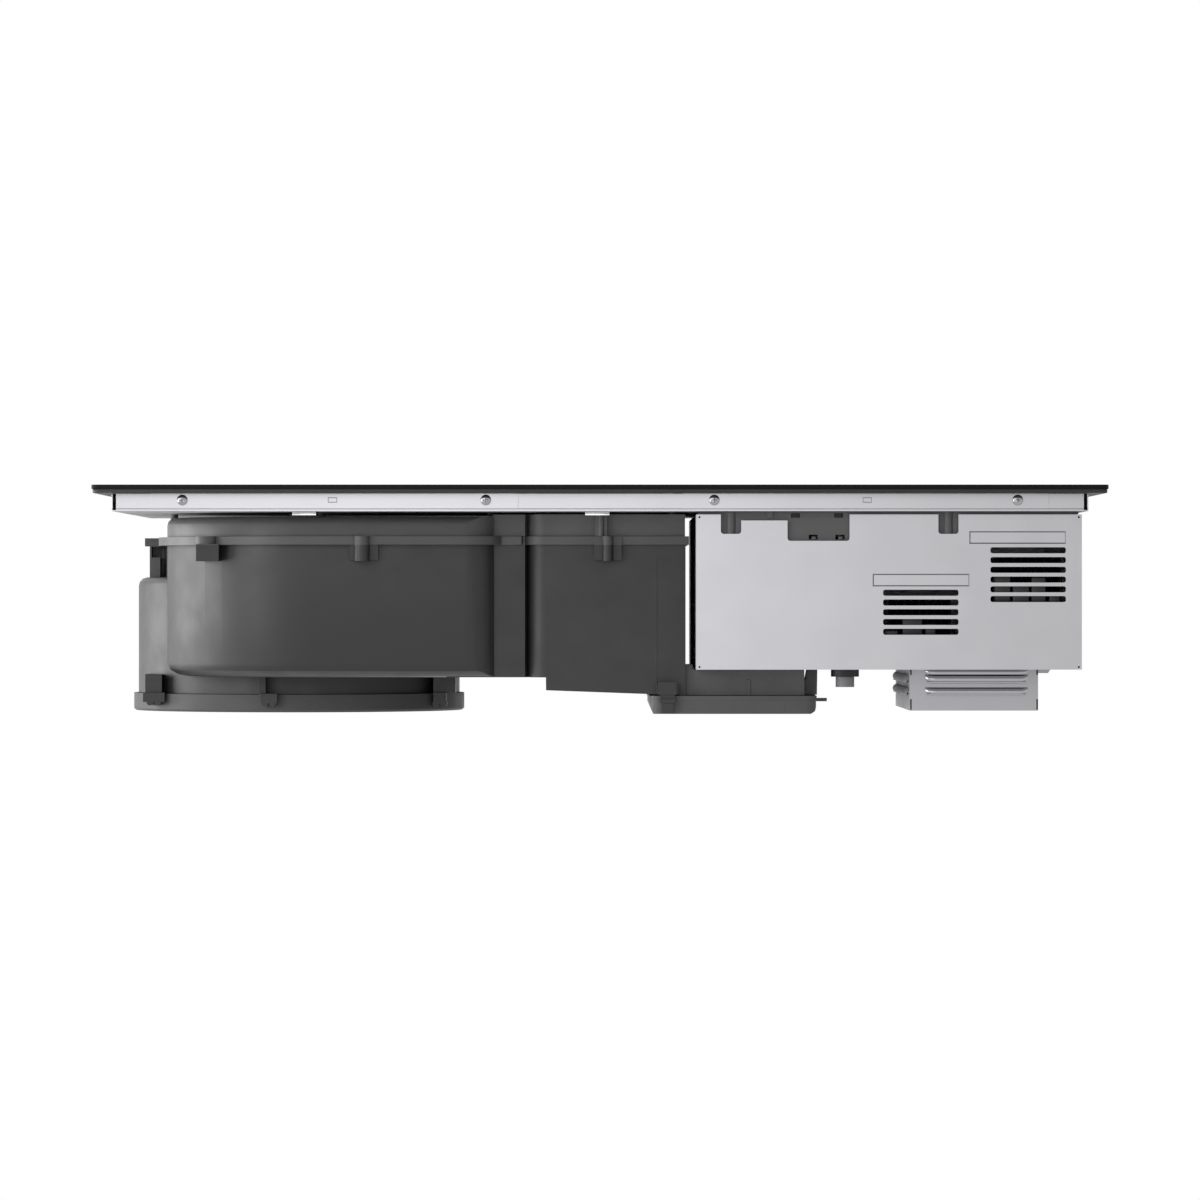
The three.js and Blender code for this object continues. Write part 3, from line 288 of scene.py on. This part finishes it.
def finish_mesh(name, bm, finishes, body, smooth_below=35):
    """Turns a bmesh, in metres at its place, into a piece that rides a body and fills a material slot."""
    limit = radians(smooth_below)
    for face in bm.faces:
        face.smooth = True
    for edge in bm.edges:
        edge.smooth = len(edge.link_faces) == 2 and edge.calc_face_angle(0) < limit
    mesh = bpy.data.meshes.new(name)
    bm.to_mesh(mesh)
    bm.free()
    for finish in finishes:
        mesh.materials.append(FINISH[finish])
    obj = bpy.data.objects.new(name, mesh)
    bpy.context.collection.objects.link(obj)
    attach(obj, body)
    return obj


def round_edges(obj, width_mm, segments=2, angle=32):
    """Rounds every edge that is sharper than the angle, in degrees."""
    bevel = obj.modifiers.new("edge_rounds", "BEVEL")
    bevel.width = width_mm * MM
    bevel.segments = segments
    bevel.limit_method = "ANGLE"
    bevel.angle_limit = radians(angle)
    bevel.harden_normals = True
    return obj


SAME_POINT = 2e-6            # metres
SAME_PLANE = radians(0.8)


def packed_copy(name):
    """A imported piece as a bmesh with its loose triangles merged."""
    bm = bmesh.new()
    bm.from_mesh(frame["nodes"][name].data)
    bmesh.ops.remove_doubles(bm, verts=bm.verts, dist=SAME_POINT)
    bmesh.ops.dissolve_limit(bm, angle_limit=SAME_PLANE, verts=bm.verts, edges=bm.edges)
    return bm


def other_finish(bm, test, index=1):
    """Gives the faces that pass a test the piece's second, or a later, material."""
    for face in bm.faces:
        if test(face.calc_center_median() / MM, face.normal):
            face.material_index = index


def split_level(bm, z):
    """Splits the faces along a level plane, in millimetres, so that a finish can end there."""
    everything = bm.verts[:] + bm.edges[:] + bm.faces[:]
    bmesh.ops.bisect_plane(
        bm, geom=everything, dist=1e-7, plane_co=(0, 0, z * MM), plane_no=(0, 0, 1))


def dress(name, finishes, width_mm, shape=None):
    """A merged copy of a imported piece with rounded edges, which stands for that piece."""
    bm = packed_copy(name)
    if shape:
        shape(bm)
    sharp = name in SHARP_PIECES
    smooth_below = 1 if sharp else 35
    obj = finish_mesh(f"{name}_finished", bm, finishes, BODY_OF[name], smooth_below)
    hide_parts(name)
    if sharp:
        obj.data.shade_flat()
        return obj
    return round_edges(obj, width_mm)


def low_corner(name):
    """The left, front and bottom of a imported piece, in millimetres."""
    return Vector(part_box(name)[0]) / MM


def glass_edges(bm):
    """The rim is ground, so only the flat faces are polished."""
    other_finish(bm, lambda centre, normal: abs(normal.z) < 0.5)


STRIP_BOTTOM = low_corner("mounting_strip_left").z
SHADOW_LINE = 0.6            # painted shadow: a darker band below the strips
PAN_FLOOR_TOP = -15          # the pan's floor and no other level face lies below this


def pan_faces(bm):
    """The floor's underside is dull, and the front has a painted shadow line under the strips."""
    line_top = STRIP_BOTTOM + 0.1
    line_bottom = STRIP_BOTTOM - SHADOW_LINE
    split_level(bm, line_top)
    split_level(bm, line_bottom)
    other_finish(bm, lambda centre, normal: normal.z < -0.5 and centre.z < PAN_FLOOR_TOP)
    other_finish(bm, lambda centre, normal: normal.y < -0.9 and line_bottom < centre.z < line_top, 2)


FLANGE_BOTTOM = -46.2        # where the joint flange ends and the scroll's wall begins
LEG_RIGHT, LEG_BOTTOM = -404, -78
SUMP_LEFT, SUMP_TOP = 85, -159


def flange_and_sump(bm):
    """The flange, the left leg and the sump are painted one tone lighter than the walls, as painted light.
    """
    def on_flange_or_leg(centre, normal):
        on_leg = centre.x < LEG_RIGHT and centre.z > LEG_BOTTOM
        return on_leg or centre.z > FLANGE_BOTTOM

    split_level(bm, FLANGE_BOTTOM)
    other_finish(bm, on_flange_or_leg)
    other_finish(bm, lambda centre, normal: centre.z < SUMP_TOP and centre.x > SUMP_LEFT, 2)


def strip_grooves(bm):
    """What lies behind the strip's front face, in its pressed rectangle and seams, is painted a tone
    darker, as painted shade.
    """
    front = min(v.co.y for v in bm.verts) / MM
    strip_top = -3
    other_finish(bm, lambda centre, normal: (
        normal.y < -0.9 and centre.y > front + 0.2 and centre.z < strip_top))


def cowl_sides(bm):
    """The cowl's left side is duller than its front."""
    other_finish(bm, lambda centre, normal: normal.x < -0.9)


def box_faces(bm):
    """The side towards the blower stands in a narrow gap and is painted darker, as painted shade."""
    left = low_corner("electronics_box").x
    other_finish(bm, lambda centre, normal: normal.x < -0.9 and centre.x < left + 13)


def panel_recesses(bm):
    """The sloping rims of the pressed bars are painted darker than the panel, as painted shade."""
    front = min(v.co.y for v in bm.verts) / MM

    def on_rim(centre, normal):
        sloping = 0.3 < -normal.y < 0.97 and max(abs(normal.x), abs(normal.z)) > 0.2
        return sloping and abs(centre.y - front) < 0.6

    other_finish(bm, on_rim)


FINISHES_OF = {
    "glass_panel": ("black_glass", "ground_edge"),
    "skirt_pan": ("strip_sheet", "dull_zinc", "painted_shade_zinc"),
    "mounting_strip_left": ("strip_sheet", "faint_painted_shade"),
    "mounting_strip_right": ("strip_sheet", "faint_painted_shade"),
    "louvred_cowl": ("cowl_sheet", "dull_zinc"),
    "box_front_panel": ("galvanised_sheet", "painted_shade_pressed_rims"),
    "electronics_box": ("galvanised_sheet", "painted_shade_zinc"),
    "blower_lower_shell": ("charcoal_plastic", "flange_charcoal_painted_light", "sump_charcoal_painted_light"),
    "intake_duct": ("charcoal_plastic", "flange_charcoal_painted_light", "sump_charcoal_painted_light"),
    "blower_upper_shell": ("lid_charcoal_painted_light",),
    "blower_cover": ("charcoal_cover",),
    "drip_tray": ("charcoal_tray",),
    "board_carrier": ("carrier_plastic",),
    "heat_sink_left": ("heat_sink",),
    "heat_sink_right": ("heat_sink",),
}
EDGE_ROUND_MM = {
    "glass_panel": 0.4, "trim_frame": 0.3, "skirt_pan": 0.5, "mounting_strip_left": 0.12,
    "mounting_strip_right": 0.12, "box_front_panel": 0.2, "electronics_box": 0.25, "louvred_cowl": 0.25,
    "blower_lower_shell": 0.6, "blower_upper_shell": 0.6, "intake_duct": 0.6, "blower_cover": 0.6,
    "drip_tray": 0.7, "intake_grille": 0.4,
}
SHAPE_OF = {
    "glass_panel": glass_edges, "skirt_pan": pan_faces, "blower_lower_shell": flange_and_sump,
    "intake_duct": flange_and_sump, "electronics_box": box_faces, "box_front_panel": panel_recesses,
    "mounting_strip_left": strip_grooves, "mounting_strip_right": strip_grooves, "louvred_cowl": cowl_sides,
}
DEFAULT_ROUND_MM = 0.3
SHARP_PIECES = {"box_front_panel", "louvred_cowl"}     # cut and bent sheet, shaded flat
SCREW_NODES = [name for name in SLOT_OF if name.startswith("strip_screw")]
for piece, slot_name in SLOT_OF.items():
    if piece not in SCREW_NODES:
        finishes = FINISHES_OF.get(piece, (slot_name,))
        dress(piece, finishes, EDGE_ROUND_MM.get(piece, DEFAULT_ROUND_MM), SHAPE_OF.get(piece))


# ---------------------------------------------------------------- small pieces
def merge_into(bm, fresh):
    """Adds one bmesh to another and frees it."""
    mesh = bpy.data.meshes.new("working_copy")
    fresh.to_mesh(mesh)
    fresh.free()
    bm.from_mesh(mesh)
    bpy.data.meshes.remove(mesh)


def padded_bar(bm, low, high, round_mm, segments=3):
    """Adds a block between two corners, in millimetres, with rounded edges."""
    fresh = bmesh.new()
    bmesh.ops.create_cube(fresh, size=1)
    size = Vector(high) - Vector(low)
    middle = (Vector(high) + Vector(low)) / 2
    bmesh.ops.scale(fresh, vec=size * MM, verts=fresh.verts)
    bmesh.ops.translate(fresh, vec=middle * MM, verts=fresh.verts)
    bmesh.ops.bevel(
        fresh, geom=fresh.edges, affect="EDGES", offset=round_mm * MM, segments=segments,
        profile=0.5, material=-1, offset_type="OFFSET", clamp_overlap=True)
    merge_into(bm, fresh)


def bars(name, corners, round_mm, finish):
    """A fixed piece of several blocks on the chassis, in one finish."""
    bm = bmesh.new()
    for low, high in corners:
        padded_bar(bm, low, high, round_mm)
    return finish_mesh(name, bm, (finish,), CHASSIS)


def spun(bm, profile, centre, axis, steps=32):
    """Adds a turned form; the profile is a list of (radius, along the axis), in millimetres."""
    fresh = bmesh.new()
    axis = Vector(axis)
    across = Vector((1, 0, 0)) if abs(axis.x) < 0.5 else Vector((0, 1, 0))
    points = [
        fresh.verts.new((Vector(centre) + across * radius + axis * along) * MM)
        for radius, along in profile]
    edges = [fresh.edges.new(pair) for pair in zip(points, points[1:])]
    bmesh.ops.spin(
        fresh, geom=points + edges, cent=Vector(centre) * MM, axis=axis, angle=2 * pi,
        steps=steps, use_merge=True, use_duplicate=False)
    bmesh.ops.remove_doubles(fresh, verts=fresh.verts, dist=1e-6)
    bmesh.ops.recalc_face_normals(fresh, faces=fresh.faces)
    merge_into(bm, fresh)


def box_mm(name):
    """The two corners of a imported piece, in millimetres."""
    return [Vector(corner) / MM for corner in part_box(name)]


SCREW_DOME, SCREW_HEAD, SHANK_RADIUS = 1.7, 2.7, 1.9


def pan_head_screw(name):
    """A low dome over a flat rim, with a cross recess."""
    low, high = box_mm(name)
    x, z = (low.x + high.x) / 2, (low.z + high.z) / 2
    radius = (high.x - low.x) / 2
    head = low.y                     # the head's outer face, towards the user
    rim = head + SCREW_HEAD          # and where it sits on the strip
    turns = [radians(degrees) for degrees in range(0, 91, 10)]
    dome = [(radius * sin(turn), head + SCREW_DOME * (1 - cos(turn))) for turn in turns]
    shank = [(radius, rim), (SHANK_RADIUS, rim), (SHANK_RADIUS, high.y), (0, high.y)]
    bm = bmesh.new()
    spun(bm, dome + shank, (x, 0, z), (0, 1, 0))
    obj = finish_mesh(f"{name}_finished", bm, ("zinc_screw",), BODY_OF[name], 40)
    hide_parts(name)
    arm, half = 2.3, 0.45
    front, back = head - 0.05, head + 1.2
    # The cross recess is darker zinc, as painted shade.
    bars(f"{name}_cross_recess", [
        ((x - arm, front, z - half), (x + arm, back, z + half)),
        ((x - half, front, z - arm), (x + half, back, z + arm))],
        0.15, "painted_shade_pressed_rims")


for screw in SCREW_NODES:
    pan_head_screw(screw)

glass_low, glass_high = box_mm("glass_panel")
trim_low, trim_high = box_mm("trim_frame")


def bonding_bead():
    """The bead that holds the glass on its trim, a little inside both."""
    inset, width, sunk = 0.25, 6, 0.1
    left, right = trim_low.x + inset, trim_high.x - inset
    front, rear = trim_low.y + inset, trim_high.y - inset
    bottom, top = trim_high.z - sunk, glass_low.z + sunk
    lengthwise = [((left, y, bottom), (right, y + width, top)) for y in (front, rear - width)]
    crosswise = [((x, front, bottom), (x + width, rear, top)) for x in (left, right - width)]
    bars("glass_bonding_bead", lengthwise + crosswise, 0.1, "silicone")


bonding_bead()

# Plates on the front of the pan's two tabs are painted near white, as painted light.
TAB_FRONT, TAB_BOTTOM, TAB_TOP = -205, -19.3, -17.2
bars("pan_tab_faces", [
    ((left, TAB_FRONT - 0.3, TAB_BOTTOM), (right, TAB_FRONT - 0.05, TAB_TOP))
    for left, right in ((-279.7, -258.4), (-13.3, 8.5))],
    0.1, "painted_light_tab")

# A thin web joins the housing's left leg to the scroll behind it.
bars("left_leg_web", [((-414, 2, -76), (-405.5, 6, -45))], 0.5, "flange_charcoal_painted_light")

# Pegs stand in the lower half of the two lower holes of the board carrier.
carrier_front = low_corner("board_carrier").y
bars("carrier_pegs", [
    ((x - 1.9, carrier_front + 0.6, -41.8), (x + 1.9, carrier_front + 4, -38.9))
    for x in (193.4, 217.6)],
    0.5, "carrier_plastic")

# Black plates behind its two upper holes are painted shade.
bars("carrier_hole_painted_shade", [
    ((left, -228.4, -22.4), (left + 9, -227.6, -17.2)) for left in (172.5, 211.5)],
    0.1, "black_plastic")

# Relays in front of the heat sinks, as (left, right, bottom, top), seen through the vent slots.
RELAY_FRONT, RELAY_REAR = -224, -217
UPPER_VENT_RELAYS = [
    (357, 372, -101, -72), (374, 389, -101, -83), (391, 404, -101, -76), (407, 417, -101, -90)]
LOWER_VENT_RELAYS = [
    (274, 292, -129, -112), (295, 304, -129, -118), (258, 270, -129, -124)]
bars("power_relays", [
    ((left, RELAY_FRONT, bottom), (right, RELAY_REAR, top))
    for left, right, bottom, top in UPPER_VENT_RELAYS + LOWER_VENT_RELAYS],
    1.0, "relay_case")


# ---------------------------------------------------------------- louvres
HOOD_TAPER = 6.0                     # length of the slope at each end of a hood
HOOD_TURN = radians(128)             # past its fullest point the sheet curls back to the wall
HOOD_GRID = (28, 12)


def louvre(bm, wall, start, end, top, low, reach, side):
    """A pressed hood: rounded out of the wall from its upper line, tapering to the wall at both ends.

    side is "front" for a wall across Y and "left" for a wall across X.
    """
    fresh = bmesh.new()
    bmesh.ops.create_grid(fresh, x_segments=HOOD_GRID[0], y_segments=HOOD_GRID[1], size=1)
    for vert in fresh.verts:
        u, v = (vert.co.x + 1) / 2, (vert.co.y + 1) / 2
        along = start + u * (end - start)
        slope = min(along - start, end - along) / HOOD_TAPER
        swell = sin(min(slope, 1) * pi / 2) ** 0.7 if slope > 0 else 0
        turn = v * HOOD_TURN
        out = reach * swell * sin(turn)
        drop = (1 - cos(turn)) / (1 - cos(HOOD_TURN)) * (0.45 + 0.55 * swell)
        height = top - (top - low) * drop
        place = (along, wall - out, height) if side == "front" else (wall - out, along, height)
        vert.co = Vector(place) * MM
    bmesh.ops.recalc_face_normals(fresh, faces=fresh.faces)
    outward = Vector((0, -1, 0)) if side == "front" else Vector((-1, 0, 0))
    if sum(face.normal.dot(outward) for face in fresh.faces) < 0:
        bmesh.ops.reverse_faces(fresh, faces=fresh.faces)
    merge_into(bm, fresh)


def louvre_row(name, finish, places):
    """Pressed hoods of one wall, each given as louvre() takes it."""
    bm = bmesh.new()
    for place in places:
        louvre(bm, *place)
    obj = finish_mesh(name, bm, (finish,), CHASSIS, 60)
    thick = obj.modifiers.new("sheet", "SOLIDIFY")
    thick.thickness = 0.7 * MM
    thick.offset = 1


COWL_FRONT, COWL_LEFT = -160.0, 284.0
HOODS = [(-160.2, -164.2), (-165.4, -171.0), (-177.2, -182.6)]       # top and low line of each row
louvre_row("cowl_louvre_hoods", "louvre_sheet", [
    (COWL_FRONT, 298, 392, top, low, 2.8, "front") for top, low in HOODS])
# The side hoods are darker zinc, as painted shade.
louvre_row("cowl_side_louvre_hoods", "painted_shade_zinc", [
    (COWL_LEFT, rear, rear + 110, top, low, 3.4, "left") for top, low in HOODS[1:] for rear in (-140, -18)])

# Black bars on the cowl's front are painted shadow: under the lower edge of each hood, and in the reliefs
# at its corners.
LINE_FRONT, LINE_REAR = COWL_FRONT - 0.08, COWL_FRONT + 0.4
bars("cowl_louvre_painted_shadows", [
    ((303, LINE_FRONT, low - height), (382, LINE_REAR, low + 0.4))
    for (top, low), height in zip(HOODS[1:], (1.9, 0.6))],
    0.2, "black_plastic")
bars("cowl_corner_relief_painted_shade", [
    ((left, LINE_FRONT, bottom), (left + 1.6, LINE_REAR, top))
    for left in (COWL_LEFT + 0.2, 399.9) for bottom, top in ((-165.2, -159.8), (-197.0, -187.2))],
    0.2, "black_plastic")


# ---------------------------------------------------------------- marks on the glass
INK_TOP = glass_high.z + 0.04
INK_BOTTOM = INK_TOP - 0.03
ZONE_CENTRES = [(x, y) for x in (-248, 248) for y in (-112, 122)]
ZONE_REACH, ZONE_ARM = 78, 12        # where a zone's four arms begin, and how long they are
TOUCH_Y, TOUCH_PITCH = -225, 48      # the row of touch marks at the front edge


def ink_bar(bm, x0, x1, y0, y1):
    padded_bar(bm, (x0, y0, INK_BOTTOM), (x1, y1, INK_TOP), 0.01, 1)


def ink_ring(bm, x, y, radius, width):
    inner = radius - width
    section = [(inner, INK_BOTTOM), (inner, INK_TOP), (radius, INK_TOP), (radius, INK_BOTTOM)]
    spun(bm, section, (x, y, 0), (0, 0, 1), 72)


def zone_mark(bm, x, y):
    """A small ring with four short arms, far out, on its axes."""
    half = 0.6
    near, far = ZONE_REACH, ZONE_REACH + ZONE_ARM
    ink_bar(bm, x + near, x + far, y - half, y + half)
    ink_bar(bm, x - far, x - near, y - half, y + half)
    ink_bar(bm, x - half, x + half, y + near, y + far)
    ink_bar(bm, x - half, x + half, y - far, y - near)
    ink_ring(bm, x, y, 4, 1)


def glass_marks():
    bm = bmesh.new()
    for x, y in ZONE_CENTRES:
        zone_mark(bm, x, y)
    for i in range(6):
        ink_ring(bm, (i - 2.5) * TOUCH_PITCH, TOUCH_Y, 6, 0.7)
    for i in range(5):
        x = (i - 2) * TOUCH_PITCH
        ink_bar(bm, x - 9, x + 9, TOUCH_Y - 0.4, TOUCH_Y + 0.4)
    finish_mesh("printed_zone_and_touch_marks", bm, ("ink",), CHASSIS)


glass_marks()


# ---------------------------------------------------------------- floor, lamps, world
def white_for(tree, socket):
    """Links 1 where the camera, a reflection or glass looks, and 0 for the light that falls."""
    rays = node(tree, "ShaderNodeLightPath")
    seen = node(tree, "ShaderNodeMath", operation="MAXIMUM")
    tree.links.new(rays.outputs["Is Camera Ray"], seen.inputs[0])
    tree.links.new(rays.outputs["Is Glossy Ray"], seen.inputs[1])
    clear = node(tree, "ShaderNodeMath", operation="MAXIMUM")
    tree.links.new(seen.outputs[0], clear.inputs[0])
    tree.links.new(rays.outputs["Is Transmission Ray"], clear.inputs[1])
    tree.links.new(clear.outputs[0], socket)


WHITE = (1, 1, 1, 1)
FLOOR_DROP = 1.15    # metres below the worktop plane, because the object hangs in a worktop
FLOOR_RADIUS = 3.0
AMBIENT = 0.38       # the world's light on the object, where 1 is white


def studio_floor():
    """A pale disc that the camera sees as white."""
    bm = bmesh.new()
    bmesh.ops.create_circle(bm, cap_ends=True, segments=96, radius=FLOOR_RADIUS)
    bmesh.ops.translate(bm, vec=(0, 0, -FLOOR_DROP), verts=bm.verts)
    mesh = bpy.data.meshes.new("floor")
    bm.to_mesh(mesh)
    bm.free()
    floor = bpy.data.objects.new("floor", mesh)
    bpy.context.collection.objects.link(floor)
    made, tree, surface = new_material(
        "white_studio_floor", roughness=0.9, base_color=colour("#f2f2f2"))
    glow = node(tree, "ShaderNodeEmission", {"Color": WHITE, "Strength": 1.0})
    mix = node(tree, "ShaderNodeMixShader", {1: surface.outputs["BSDF"], 2: glow.outputs["Emission"]})
    white_for(tree, mix.inputs[0])
    tree.links.new(mix.outputs[0], tree.nodes["Material Output"].inputs["Surface"])
    mesh.materials.append(made)


def studio_world():
    """White behind the object and in its reflections, and a dimmer even light on it."""
    world = bpy.data.worlds.new("studio")
    bpy.context.scene.world = world
    world.use_nodes = True
    tree = world.node_tree
    tree.nodes.clear()
    white_back = node(tree, "ShaderNodeBackground", {"Color": WHITE, "Strength": 1.0})
    soft_fill = node(tree, "ShaderNodeBackground", {"Color": WHITE, "Strength": AMBIENT})
    mix = node(tree, "ShaderNodeMixShader", {
        1: soft_fill.outputs["Background"], 2: white_back.outputs["Background"]})
    white_for(tree, mix.inputs[0])
    node(tree, "ShaderNodeOutputWorld", {"Surface": mix.outputs[0]})


def softbox(name, place, target, size, radiance):
    """A rectangular lamp that faces a target; its face has this radiance, where 1 is white."""
    width, height = size
    data = bpy.data.lights.new(name, "AREA")
    data.shape = "RECTANGLE"
    data.size = width
    data.size_y = height
    data.energy = radiance * pi * width * height
    lamp = bpy.data.objects.new(name, data)
    lamp.location = place
    lamp.rotation_euler = (Vector(target) - Vector(place)).to_track_quat("-Z", "Y").to_euler()
    bpy.context.collection.objects.link(lamp)


studio_floor()
studio_world()
softbox("side_panel_left", (-2.45, 0.3, 0.05), (-0.2, 0, -0.1), (2.4, 1.8), 4.7)
softbox("corner_strip_left", (-2.0, -1.9, 0.0), (-0.2, -0.1, -0.1), (0.75, 1.6), 4.6)
softbox("front_key", (-0.95, -2.2, 0.65), (0, -0.2, -0.08), (1.5, 1.0), 1.6)
softbox("low_front_fill", (-0.15, -2.3, -0.1), (-0.05, -0.2, -0.1), (0.8, 0.5), 1.6)

scene = bpy.context.scene
scene.view_settings.view_transform = "Standard"
